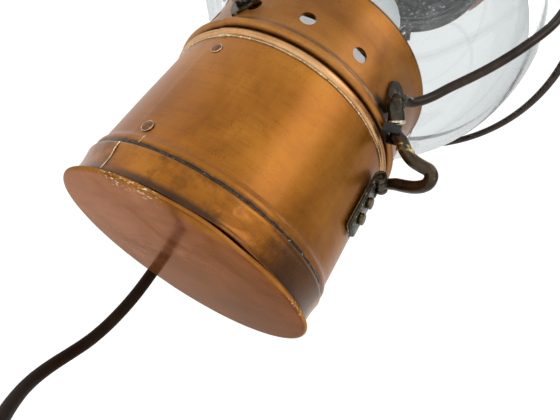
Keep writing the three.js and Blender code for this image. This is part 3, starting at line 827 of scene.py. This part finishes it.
def make_plug():
    """The plug's ribbed neck. Its body and pins keep their CAD shape."""
    profile = [(3.25, 0), (4.0, 0), *ribs(6, 1.2, 4.1, 0.23, 1.8, 0.5)]
    profile += [(5.6, 18.9), (5.6, 19.4), (3.25, 19.4)]
    matrix = Matrix.Translation((-45.3, -121, -90)) @ Matrix.Rotation(-math.pi / 2, 4, "Y")
    mesh = bmesh.new()
    add_lathe(mesh, profile, matrix, 40, 0.2)
    neck = piece("plug_neck_ribbed", mesh, "base", BLACK_PLASTIC, ["plug_neck"])
    details = bmesh.new()
    fuse = Matrix.Translation((-90.5, -121, FLOOR + 20.1))
    add_block(details, (-6, -3.6, -0.4), (6, 3.6, 0.35), fuse, 0.3)
    button = [(0, -0.3), (3.4, -0.3), (3.4, 0.25), (0, 0.25)]
    add_lathe(details, button, fuse @ Matrix.Translation((15, 0, 0)), 32, 0.1)
    cover = piece("plug_fuse_cover", details, "base", BLACK_PLASTIC)
    pins = [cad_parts[f"plug_pin_{name}"] for name in ("earth", "live", "neutral")]
    return [neck, cover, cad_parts["plug_body"], *pins]


# ---------------------------------------------------------------- the drum base


def seam_step(azimuth, depth, fade):
    """The extra radius of a lapped sheet's outer end, which fades as the sheet closes on itself."""
    past = turn_from(azimuth, SEAM)
    return depth * (1 - eased(past / fade)) if past >= 0 else 0.0


def wander(azimuth, height, size, seed):
    """A smooth small unevenness over a shell, alike at 0 and 360 degrees."""
    at = polar(1.4, 0, azimuth)
    return size * noise.noise(Vector((at.x, at.y, height * 0.03 + seed)))


def foot_warp(radius, height, azimuth):
    """The disc's rim, bent up at the front right and uneven all round."""
    rim = eased((radius - 50) / 9.4)
    lift = 0.85 * bell(turn_from(azimuth, RIM_DENT), 0, 11) + 0.3 * bell(turn_from(azimuth, -14), 0, 8)
    lift += wander(azimuth, 0, 0.5, 3)
    inward = 0.5 * bell(turn_from(azimuth, RIM_DENT), 0, 9) - wander(azimuth, 0, 0.6, 9)
    return radius - rim * max(0.0, inward), height + rim * max(0.0, lift)


def band_warp(radius, height, azimuth):
    """The band's lower edge curls out and rises where the rim was struck."""
    low = 1 - eased((height - 2.2) / 4.5)
    outer = 1.0 if radius > 56.4 else 0.0
    curl = bell(turn_from(azimuth, -37), 0, 12)
    lift = (1.05 * curl + 0.4 * bell(turn_from(azimuth, -62), 0, 10)) * low
    lift += wander(azimuth, 0, 0.4, 5) * low * low
    bulge = 0.55 * curl * low + bell(turn_from(azimuth, BAND_DENT), 0, 5) * bell(height, 9.5, 2.4)
    return radius + outer * (bulge + wander(azimuth, height, 0.25, 7)), height + max(-0.1, lift)


def drum_warp(radius, height, azimuth):
    outer = 1.0 if radius > 56.4 else 0.0
    change = seam_step(azimuth, 0.14, 16) + wander(azimuth, height, 0.22, 1)
    dent = 0.35 * bell(turn_from(azimuth, 2), 0, 5) * bell(height, 27, 5)
    return radius + outer * (change - dent), height


def bead_warp(radius, height, azimuth):
    outer = 1.0 if radius > 56.6 else 0.0
    return radius + outer * (seam_step(azimuth, 0.3, 30) + wander(azimuth, 80, 0.16, 4)), height


def shell(name, profile, body, materials, node_name, warp=None, fillet=0.5, columns=288, inner=None):
    """A turned piece. inner is the index of the material on its inside."""
    mesh = bmesh.new()
    add_lathe(mesh, profile, None, columns, fillet, warp, inner_index=inner)
    return piece(name, mesh, body, materials, [node_name])


def solder_ring(name, radius, height, thickness, uneven, material, body, heavy=None):
    """A lumpy bead of solder run round a joint. heavy is (azimuth, width, extra thickness)."""
    path = []
    sizes = []
    for step in range(360):
        at = polar(3.4, 0, step)
        lump = noise.noise(Vector((at.x * 4, at.y * 4, 2.7)))
        lump += 0.6 * noise.noise(Vector((at.x * 12, at.y * 12, 8.1)))
        size = thickness * (1 + uneven * lump)
        if heavy:
            size += heavy[2] * bell(turn_from(step, heavy[0]), 0, heavy[1])
        sizes.append(max(0.15, size))
        sway = 0.25 * noise.noise(Vector((at.x * 2, at.y * 2, 5.5)))
        path.append(polar(radius + seam_step(step, 0.14, 16), height + sway * thickness, step))
    mesh = bmesh.new()
    add_sweep(mesh, path, lambda share: sizes[round(share * 359)], 10, closed=True)
    return piece(name, mesh, body, material)


def make_drum():
    rim = [(57.8, 0), (59, 0.35), (59.4, 1.1), (59, 1.8), (57.6, 2)]
    foot = [(radius, 0) for radius in (0, 20, 38, 48, 53, 56)] + rim
    foot += [(radius, 2) for radius in (53, 48, 20, 0)]
    band = [
        (55.9, 2.3), (56.9, 2.3), (57.2, 3.2), (57, 5), (57.1, 8), (57.8, 12), (58.4, 14.4), (58, 15.6),
        (57, 15.9), (55.9, 15.9),
    ]
    wall = [(55.9, 16.2), (57.3, 16.2), (58, 17.4), (58, 19), (57.2, 20.8), (57, 22.5)]
    wall += [(57, height) for height in range(26, 78, 4)] + [(57, 78.3), (55.9, 78.3)]
    bead = [(56, 78.7), (57.4, 78.7), (58.4, 79.5), (58.6, 80.8), (58.3, 82), (57.5, 82.8), (56, 82.8)]
    deck = [(8, 81), (55.6, 81), (55.6, 92), (54.5, 92), (54.5, 82.1), (8, 82.1)]
    shell("foot_plate", foot, "base", DISC_COPPER, "foot_disc", foot_warp, 0.6, 360)
    shell("foot_ring", band, "base", BAND_COPPER, "foot_band", band_warp, 1.0, 360)
    drum = shell("drum_wall", wall, "base", DRUM_COPPER, "drum_shell", drum_warp, 0.9, 360)
    pierce(drum, [(outward(57, 44, GLAND_TURN), 4.6)])
    shell("drum_bead", bead, "base", BEAD_COPPER, "drum_top_band", bead_warp, 0.7, 360)
    shell("deck_plate", deck, "base", COLLAR_COPPER, "drum_deck", None, 0.4)
    solder_ring("solder_foot", 57.25, 16.05, 0.68, 0.3, DARK_SOLDER, "base")
    solder_ring("solder_disc", 57.0, 2.25, 0.4, 0.5, DARK_SOLDER, "base")
    solder_ring("solder_top", 57.05, 78.45, 0.5, 0.35, PALE_SOLDER, "base", (-86, 3.5, 0.5))
    make_seams()
    for level, height in (("lower", 24.6), ("upper", 69.7)):
        mesh = bmesh.new()
        matrix = outward(57.25, height, -83.5)
        profile = [(0, 0), (2.2, 0), (2.1, 0.7), (1.55, 0.55), (1.1, 0.85), (0, 1.0)]
        add_lathe(mesh, profile, matrix, 32, 0.2)
        add_lathe(mesh, [(2.2, 0), (2.55, 0), (2.5, 0.5), (2.2, 0.45)], matrix, 40, 0.12, index=1)
        finishes = [BROWN_RIVET, BRIGHT_RING]
        piece(f"seam_rivet_{level}_head", mesh, "base", finishes, [f"seam_rivet_{level}"])


def make_seams():
    """Thin brazed lines on the foot band, and the seam's edge up the drum."""
    for name, azimuth, low, high, radius, size in (
        ("seam_band", -88.6, 3.2, 14.8, 57.15, 0.28),
        ("seam_bead", -80.5, 16.6, 20.5, 57.9, 0.26),
    ):
        points = []
        for step in range(12):
            height = low + (high - low) * step / 11
            flare = -0.5 * eased((height - 19) / 1.6)
            if name == "seam_band":
                flare = 1.25 * eased((height - 7) / 7.4)
            sway = 0.12 * noise.noise(Vector((height * 0.4, 3.1, 1.7)))
            points.append(polar(radius + flare, height, azimuth + sway))
        mesh = bmesh.new()
        add_sweep(mesh, points, size, 8)
        piece(name, mesh, "base", PALE_SOLDER)


def make_lampholder():
    skirt = [
        (4, 72), (7.6, 72), (7.6, 82.4), (17, 82.4), (17, 84.4), (14.4, 86), (14.4, 104), (13.2, 104),
        (13.2, 88), (4, 88),
    ]
    cap = [(0, 92.6), (7, 92.6), (11, 93.8), (11, 112), (0, 112)]
    ring = [(14.8, 90)]
    for step in range(6):
        ring += [(17.2, 90 + step * 0.85), (16.8, 90.45 + step * 0.85)]
    ring += [(17.2, 95), (14.8, 95)]
    glass = [
        (0, 198), (10, 196.2), (19, 191.3), (26, 183), (29.6, 172), (29.4, 162), (26, 151), (19, 137),
        (13, 124), (10.6, 112.3), (9.6, 112.3), (12, 124.3), (18, 137.5), (25, 151.5), (28.4, 162),
        (28.6, 172), (25.2, 182.5), (18.4, 190.5), (9.7, 195.2), (0, 197),
    ]
    insert = [(2, 88.4), (12.8, 88.4), (12.8, 92.2), (11.6, 92.2), (11.6, 91), (2, 91)]
    for name, profile, material, finish, node_name, fillet, columns in (
        ("lampholder_shell", skirt, BRASS, "brass", "lampholder_skirt", 0.5, 96),
        ("lampholder_core", insert, PORCELAIN, "black_plastic", "lampholder_insert", 0.3, 64),
        ("lampholder_shade_ring", ring, BRASS, "brass", "lampholder_ring", 0.2, 96),
        ("bulb_base", cap, BRASS, "brass", "bulb_cap", 0.8, 64),
        ("bulb", glass, BULB_FROST_AND_GLOW, "bulb_glass", "bulb_glass", 4.0, 128),
    ):
        shell(name, profile, "base", material, node_name, None, fillet, columns)


def make_hooks():
    for side, azimuth in (("right", 0), ("left", 180)):
        make_strap(side, azimuth + STRAP_TURN)
        make_hook(side, azimuth)


def make_strap(side, azimuth):
    """The strap: a thick plate standing on a thin packing plate, with two knuckles and its pin."""
    turn = turned(azimuth)
    mesh = bmesh.new()
    add_block(mesh, (57.5, -5.2, 42), (58.3, 5.2, 65.6), turn, 0.3, 1)
    add_block(mesh, (58.2, -4.9, 42.5), (59.4, 4.9, 65.8), turn, 0.4)
    add_block(mesh, (59.3, -4.7, 42.8), (59.9, 4.7, 65.6), turn, 0.25, 2)
    for low, high in ((-5.2, -2.9), (2.9, 5.2)):
        add_block(mesh, (57.9, low, 64.6), (60.2, high, 69.6), turn, 0.5)
        knuckle = [(1.5, low), (2.9, low), (2.9, high), (1.5, high)]
        add_lathe(mesh, knuckle, crosswise(*PIVOT, azimuth), 40, 0.6)
    metals = [WORN_BRONZE, DARK_GOLD, VERDIGRIS]
    piece(f"strap_plate_{side}", mesh, "base", metals, [f"strap_{side}"])
    pin = bmesh.new()
    profile = [(0, -4.9), (1.2, -4.9), (1.2, 4.9), (0, 4.9)]
    add_lathe(pin, profile, crosswise(*PIVOT, azimuth), 28, 0.3)
    piece(f"pin_{side}", pin, "base", WORN_BRONZE, [f"hinge_pin_{side}"])
    for level, height in (("lower", 49.6), ("upper", 58.2)):
        rivet = bmesh.new()
        profile = [(0, 0), (2.5, 0), (2.7, 0.5), (2.6, 1.5), (2.3, 1.8), (0, 1.85)]
        add_lathe(rivet, profile, outward(60.0, height, azimuth), 28, 0.25)
        stands_for = [f"strap_rivet_{level}_{side}"]
        piece(f"strap_head_{level}_{side}", rivet, "base", DARK_GOLD, stands_for)


# Radius, height and azimuth along the hook, the same as in the drawing.
HOOK_ROUTE = [
    (64.4, 70.7, 13.5), (67.2, 70.7, 12.6), (71.1, 70.1, 11.6), (75.4, 69.6, 10.4), (79.2, 69.8, 9),
    (81.3, 70.6, 7.6), (81.9, 72.4, 6), (80.6, 73.7, 4.8), (78, 73.8, 3.6), (74.4, 74.2, 1.8),
    (71.1, 76.4, -0.3), (68.3, 80.1, -1.5), (65.6, 82.6, -2.3), (64.6, 84.2, -2.6), (64.6, 85.4, -2.6),
]


def make_hook(side, azimuth):
    """A bent rod, forged flat into an eye at its pin."""
    mesh = bmesh.new()
    route = [turned(azimuth) @ polar(*point) for point in [(61.6, 70.2, 13.5), *HOOK_ROUTE]]
    thick = lambda share: HOOK_ROD / 2 - 0.45 * bell(share, 0, 0.09) - 0.3 * bell(share, 1, 0.05)
    add_sweep(mesh, smoothed(route, 8), thick, 24, dome=0.5)
    eye = [(1.5, -2.6), (2.9, -2.6), (2.9, 2.6), (1.5, 2.6)]
    add_lathe(mesh, eye, crosswise(*PIVOT, azimuth + STRAP_TURN), 40, 0.5)
    piece(f"hook_rod_{side}", mesh, f"hook_{side}", HOOK_BRONZE, [f"hook_{side}"])


def hook_bronze():
    """Dark rod worn to gold where it rubs its keeper."""
    tones = [(0.016, 0.011, 0.006), (0.075, 0.052, 0.026), (0.36, 0.25, 0.09)]
    material = aged_metal("hook_bronze", *tones, 0.27, 0.7)
    tree = material.node_tree
    shader = tree.nodes["Principled BSDF"]
    base = shader.inputs["Base Color"].links[0].from_socket
    band = height_mask(tree, [(74.8, 0), (75.7, 0.9), (76.8, 1), (77.8, 0)])
    flecks = ramp(tree, noise_of(tree, 330, detail=5, roughness=0.7), [(0.49, 0), (0.56, 1)])
    mask = times(tree, band, flecks)
    tree.links.new(blended(tree, mask, base, (0.62, 0.47, 0.16, 1)), shader.inputs["Base Color"])
    return material


HOOK_BRONZE = hook_bronze()


# ---------------------------------------------------------------- the lantern


def collar_warp(radius, height, azimuth):
    outer = 1.0 if radius > 57.2 else 0.0
    low = 1 - eased((height - 88) / 3)
    return radius + outer * (wander(azimuth, height, 0.22, 12) + low * seam_step(azimuth, 0.4, 30)), height


def make_collar():
    profile = [(56.9, 83.6), (58.6, 83.6), (59.8, 84.6), (60.1, 85.8), (59.6, 87.2), (58.3, 88.4)]
    profile += [(57.8, height) for height in (90, 96, 103, 110, 118)]
    profile += [(58.4, 121.5), (59.6, 124.4), (59.6, 125.4), (58.6, 125.4)]
    profile += [(57.3, 121.8), (56.7, 118), (56.7, 89)]
    collar = shell(
        "collar_shell", profile, "lantern", COLLAR_COPPER, "collar", collar_warp, 0.8, 360,
    )
    vents = [FIRST_VENT + 360 * hole / VENTS for hole in range(VENTS)]
    pierce(collar, [(outward(57.3, 99, azimuth), 3.5) for azimuth in vents])
    top = [
        (58.6, 254.6), (59.6, 254.6), (59.6, 255.6), (58.4, 258.5), (57.8, 262), (57.8, 270.8),
        (58.3, 271.7), (59.8, 272.9), (60.1, 274.3), (58.6, 276.3), (56.9, 276.3), (56.7, 262),
        (57.3, 258.2),
    ]
    shell("gallery_shell", top, "lantern", [HOOD_COPPER, SOOT], "gallery", None, 0.8, 240, 1)


def mirrored(profile):
    return [(radius, 2 * GLOBE_CENTRE - height) for radius, height in profile]


def globe_side(inset):
    side = [(55.6, 116), (55.6, 120.5), (57.1, 123.1)]
    if inset:
        side = [(52.6, 116), (52.6, 121.7), (55.5, 125.6)]
    start = 52.9
    for step in range(91):
        turn = math.radians(-start + 2 * start * step / 90)
        height = GLOBE_CENTRE + (GLOBE_HALF_HEIGHT - inset) * math.sin(turn)
        side.append(((GLOBE_RADIUS - inset) * math.cos(turn), height))
    return side + list(reversed(mirrored(side[:3])))


def make_globe():
    outer = globe_side(0)
    inner = list(reversed(globe_side(GLASS)))
    shell("globe_shell", outer + inner, "lantern", GLOBE_GLASS, "globe", None, 0.6, 360)
    seat = [(47, 111.6), (56.2, 111.6), (56.2, 112.8), (47, 112.8)]
    felt = [(49, 113.1), (56.2, 113.1), (56.2, 115.7), (49, 115.7)]
    fluffy = lambda radius, height, azimuth: (radius + wander(azimuth * 9, height, 0.3, 2), height)
    for level, turn_over in (("lower", False), ("upper", True)):  # the upper ones are sooty
        metal, cloth, brass, wool = seat, felt, BRASS, PALE_FELT
        if turn_over:
            metal, cloth, brass, wool = mirrored(seat), mirrored(felt), SOOT, SOOT
        shell(f"seat_{level}", metal, "lantern", brass, f"globe_seat_{level}", None, 0.3, 144)
        shell(f"felt_{level}", cloth, "lantern", wool, f"felt_ring_{level}", fluffy, 0.8, 240)


UPRIGHT_ROUTE = [
    (75.2, 115.4), (85, 125), (91.1, 132), (98.6, 142.6), (106.6, 158), (109.7, 175), (109.7, 190),
    (109.7, 205), (106.6, 222), (98.6, 237.4), (91.1, 248), (85, 255), (76, 262.4), (69, 265.6),
    (63, 266.5),
]
# A knob's lean and its centre's height and azimuth, and the wire's way out of it.
BACK_LEAN = 12.0  # degrees by which the back wire's top stands aside
STANDING = (0.0, 103.0, 0.0, [(KNOB_RADIUS, 106, 0), (65.2, 109.2, 0), (70, 111.4, 0)])
BENT = (46.6, 91.7, -7.0, [
    (KNOB_RADIUS, 95, -10.6), (64.3, 98.2, -7.5), (65.3, 100, -4.4), (67.6, 104, -2.2), (70.8, 109.3, -0.6),
])


def knob_warp(radius, height, azimuth):
    """Grooves that climb steeply round the knob."""
    grip = bell(height, 0, 4.8)
    wave = math.sin(math.radians(4 * azimuth + height * 26))
    return radius * (1 - 0.17 * grip * (0.5 + 0.5 * wave) * (radius > 1)), height


def make_guard():
    ring = [polar(HOOP_RADIUS, GLOBE_CENTRE, turn) for turn in range(0, 360, 2)]
    mesh = bmesh.new()
    thickness = lambda share: GUARD_WIRE / 2 + 0.04 * math.sin(share * 40)
    add_sweep(mesh, ring, thickness, 16, closed=True)
    piece("hoop", mesh, "lantern", WIRE_BRONZE, ["guard_hoop"])
    for side, azimuth in (("right", 0), ("back", 90), ("left", 180), ("front", -90)):
        make_upright(side, azimuth)


def make_upright(side, azimuth):
    """One guard wire with its wound knob, the bright washer under it, and its cut end."""
    lean, middle, turn, root = BENT if side == "right" else STANDING
    mesh = bmesh.new()
    aside = BACK_LEAN if side == "back" else 0.0
    route = list(root)
    for radius, height in UPRIGHT_ROUTE:
        route.append((radius, height, aside * eased((height - 208) / 34)))
    add_sweep(mesh, smoothed([turned(azimuth) @ polar(*point) for point in route], 8), GUARD_WIRE / 2, 20)
    matrix = turned(azimuth + turn) @ Matrix.Translation((KNOB_RADIUS, 0, middle))
    matrix = matrix @ Matrix.Rotation(math.radians(lean), 4, "X")
    outline = [(0, -4.9), (3.4, -4.9), (3.7, -4.2), (3.9, -2), (4, 1)]
    outline += [(3.9, 3), (3.2, 4.8), (1.8, 5.6), (0, 5.8)]
    tall = []
    for (radius0, height0), (radius1, height1) in zip(outline, outline[1:]):
        steps = 5 if min(radius0, radius1) > 1 else 1
        for step in range(steps):
            share = step / steps
            tall.append((radius0 + (radius1 - radius0) * share, height0 + (height1 - height0) * share))
    tall.append(outline[-1])
    add_lathe(mesh, tall, matrix, 72, 0.2, knob_warp, index=3)
    washer = [(0, -5.6), (3, -5.6), (3.85, -5.1), (3.9, -4.3), (3.3, -3.9), (0, -3.9)]
    add_lathe(mesh, washer, matrix, 48, 0.3, index=2)
    stub = matrix @ Matrix.Translation((2.7, 1.2, 5)) @ Matrix.Rotation(0.5, 4, "Y")
    add_block(mesh, (-1.4, -1.4, -2.6), (1.4, 1.4, 1.6), stub, 0.4, 1)
    nail = outward(58.9, 98.5, azimuth + turn)
    add_lathe(mesh, [(0, 0), (1.8, 0), (1.8, 2.4), (0, 2.4)], nail, 24, 0.3)
    finishes = [WIRE_BRONZE, VERDIGRIS, BRIGHT_RING, KNOB_BRONZE]
    piece(f"upright_{side}", mesh, "lantern", finishes, [f"guard_upright_{side}"])


def make_hood():
    hood = [
        (57.4, 276.7), (66.9, 276.7), (67.9, 277.6), (67.9, 286), (66.6, 287.6), (60, 293.2), (48, 303),
        (38, 310.5), (31, 315.4), (29.2, 318), (28, 318), (30, 314.4), (37, 309.4), (47, 301.9), (59, 292),
        (65.6, 286.4), (66.8, 285), (66.8, 278), (57.4, 278),
    ]
    chimney = [
        (26.5, 312), (27.6, 312), (27.6, 318.3), (30, 318.3), (30, 319.4), (27.8, 320.4), (27.6, 325),
        (27.6, 332), (27.6, 337), (26.5, 337),
    ]
    cap = [
        (0, 350.8), (12, 349.8), (23, 346.4), (25.8, 343.6), (25.8, 337.3), (33.9, 337.3), (33.9, 334),
        (35, 334), (35, 338.4), (33, 341.8), (24, 347.6), (12, 351), (0, 352),
    ]
    dented = lambda radius, height, azimuth: (radius + wander(azimuth, height, 0.4, 21), height)
    sheet = [HOOD_COPPER, SOOT]
    shell("hood_shell", hood, "lantern", sheet, "hood", dented, 1.6, 288, 1)
    pipe = shell("chimney_shell", chimney, "lantern", sheet, "chimney", None, 0.4, 192, 1)
    pierce(pipe, [(outward(27, 328.5, 45 * hole), 3.0) for hole in range(8)])
    shell("cap_shell", cap, "lantern", sheet, "chimney_cap", None, 1.2, 192, 1)


def make_bail():
    foot = [(65.6, 296), (71.5, 296), (76.6, 298.2), (79, 304), (79, 318)]
    angles = [math.radians(turn) for turn in range(0, 181, 15)]
    arch = [(79 * math.cos(angle), 333 + 79 * math.sin(angle)) for angle in angles]
    other = [(-y, z) for y, z in reversed(foot)]
    path = smoothed([Vector((0, y, z)) for y, z in [*foot, *arch, *other]], 8)
    ends = lambda share: bell(share, 0, 0.01) + bell(share, 1, 0.01)
    grip = lambda share: BAIL_ROD / 2 - 0.12 * bell(share, 0.5, 0.02) - 0.25 * ends(share)
    mesh = bmesh.new()
    add_sweep(mesh, path, grip, 24, dome=0.4)
    piece("bail_handle", mesh, "bail", WIRE_BRONZE, ["bail"])


# ---------------------------------------------------------------- CAD nodes that keep their shape


def finish_node(name, material, bevel=0.35, segments=2):
    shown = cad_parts[name]
    shown.data.materials.clear()
    shown.data.materials.append(material)
    edge = shown.modifiers.new("edge", "BEVEL")
    edge.width = bevel * 0.001
    edge.segments = segments
    edge.limit_method = "ANGLE"
    edge.angle_limit = math.radians(35)
    edge.harden_normals = False
    smooth(shown.data, 50)


def finish_nodes():
    for side in ("right", "left"):
        finish_node(f"keeper_{side}", KEEPER_BRONZE, 0.22, 3)
    for side in ("right", "back", "left", "front"):
        finish_node(f"lug_lower_{side}", WORN_BRONZE, 0.3)
    for side in ("back", "front"):
        finish_node(f"bail_ear_{side}", BRONZE, 0.3)
    for name, bevel in (("cord_gland", 0.4), ("gland_nut", 0.3), ("lampholder_nut", 0.4)):
        finish_node(name, BRASS, bevel)
    finish_node("plug_body", BLACK_PLASTIC, 0.5, 3)
    for pin in ("earth", "live", "neutral"):
        finish_node(f"plug_pin_{pin}", BRASS, 0.5, 3)


make_camera()
make_world()
make_light("key", -21, 27, 1.7, 0.85, 1.4, 6)
make_light("side", -118, 12, 1.8, 0.7, 1.3, 1.2)
make_light("top", 60, 75, 1.9, 1.2, 1.2, 10)
make_floor()
make_cord()
make_drum()
make_lampholder()
make_hooks()
make_collar()
make_globe()
make_guard()
make_hood()
make_bail()
finish_nodes()
